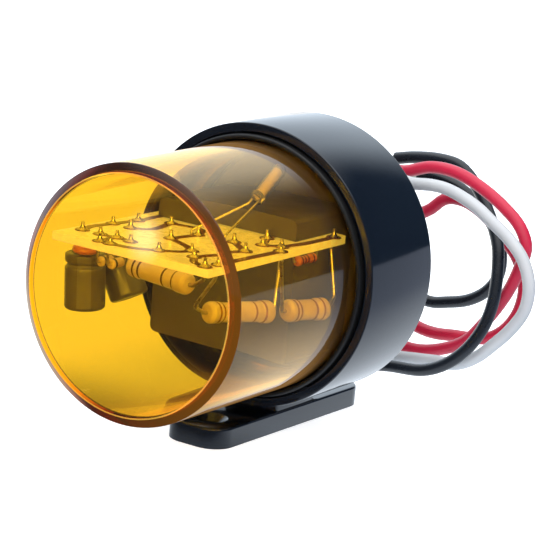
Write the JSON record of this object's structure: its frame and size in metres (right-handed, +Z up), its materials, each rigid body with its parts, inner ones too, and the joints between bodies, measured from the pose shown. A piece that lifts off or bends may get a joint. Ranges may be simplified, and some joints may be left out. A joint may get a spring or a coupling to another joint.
{
  "type": "barricade warning light",
  "caption": "Clear amber lens cup over a circuit board, set in a round black housing on a slim screw-down foot, with loose wire leads at the back.",
  "frame": {"origin": "on the ground under the middle of the light (lens, housing and foot, without the loose leads)", "axes": "+Z up; the lens looks along -Y; the leads leave the rear of the housing along +Y; +X is to the right for someone who faces the lens"},
  "size_m": [0.0762, 0.0932, 0.0631],
  "materials": {
    "amber_lens": "clear amber, polished",
    "black_plastic": "glossy moulded",
    "black_rubber": "satin",
    "holder_plastic": "satin moulded",
    "board_laminate": "lacquered laminate with solder joints",
    "tinned_wire": "tinned",
    "resistor_coating": "lacquer over ceramic",
    "capacitor_sleeve": "shrink sleeve",
    "disc_ceramic": "dipped ceramic",
    "diode_glass": "clear over dark ends",
    "lamp_glass": "clear",
    "white_insulation": "satin",
    "red_insulation": "satin",
    "black_insulation": "satin"
  },
  "bodies": {
    "light_body": {"board_holder": "holder_plastic", "board_lead_1": "black_insulation", "board_lead_2": "black_insulation", "board_lead_3": "black_insulation", "cable_grommet": "black_rubber", "capacitor_large": "capacitor_sleeve", "capacitor_lead_1": "tinned_wire", "capacitor_lead_2": "tinned_wire", "capacitor_lead_3": "tinned_wire", "capacitor_lead_4": "tinned_wire", "capacitor_small": "capacitor_sleeve", "circuit_board": "board_laminate", "diode_lead_1": "tinned_wire", "diode_lead_2": "tinned_wire", "diode_lead_3": "tinned_wire", "diode_lead_4": "tinned_wire", "diode_left": "diode_glass", "diode_right": "diode_glass", "disc_capacitor": "disc_ceramic", "housing": "black_plastic", "lamp": "lamp_glass", "lamp_lead_1": "tinned_wire", "lamp_lead_2": "tinned_wire", "lead_black": "black_insulation", "lead_black_core": "tinned_wire", "lead_red": "red_insulation", "lead_red_core": "tinned_wire", "lead_white": "white_insulation", "lead_white_core": "tinned_wire", "lens_gasket": "black_rubber", "resistor_front": "resistor_coating", "resistor_front_lead_1": "tinned_wire", "resistor_front_lead_2": "tinned_wire", "resistor_middle": "resistor_coating", "resistor_middle_lead_1": "tinned_wire", "resistor_middle_lead_2": "tinned_wire", "resistor_rear": "resistor_coating", "resistor_rear_lead_1": "tinned_wire", "resistor_rear_lead_2": "tinned_wire", "small_resistor": "disc_ceramic", "small_resistor_lead_1": "tinned_wire", "small_resistor_lead_2": "tinned_wire"},
    "lens": {"lens": "amber_lens"}
  },
  "joints": [
    {"name": "lens_pull", "type": "slide", "parent": "light_body", "child": "lens", "axis": [0, -1, 0], "range_m": [0, 0.05]}
  ]
}
